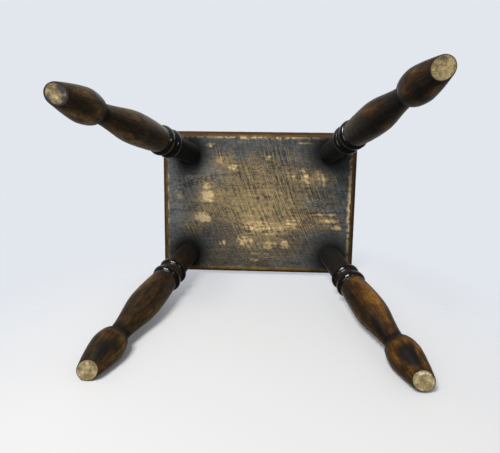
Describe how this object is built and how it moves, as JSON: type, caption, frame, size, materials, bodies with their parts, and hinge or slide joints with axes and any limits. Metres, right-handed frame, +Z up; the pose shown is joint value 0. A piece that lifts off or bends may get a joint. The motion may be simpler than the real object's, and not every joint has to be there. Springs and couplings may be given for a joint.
{
  "type": "hearth stool",
  "caption": "Low hearth stool: a rectangular moulded seat board on splayed turned legs, with round tenons wedged through the board; a seat, footrest or small stand.",
  "frame": {"origin": "On the floor, under the centre of the box round the whole stool", "axes": "+X along the seat and its grain, -Y towards the front long side, +Z up"},
  "size_m": [0.4326, 0.3666, 0.257],
  "materials": {
    "stained_seat": "dark worn stain over rough-sawn board",
    "polished_leg": "dark polish over turned hardwood, worn at the edges",
    "wedge_wood": "waxed oak"
  },
  "bodies": {
    "root": {"seat_board": "stained_seat", "leg_front_left": "polished_leg", "leg_front_right": "polished_leg", "leg_back_left": "polished_leg", "leg_back_right": "polished_leg", "wedge_front_left": "wedge_wood", "wedge_front_right": "wedge_wood", "wedge_back_left": "wedge_wood", "wedge_back_right": "wedge_wood"}
  },
  "joints": []
}
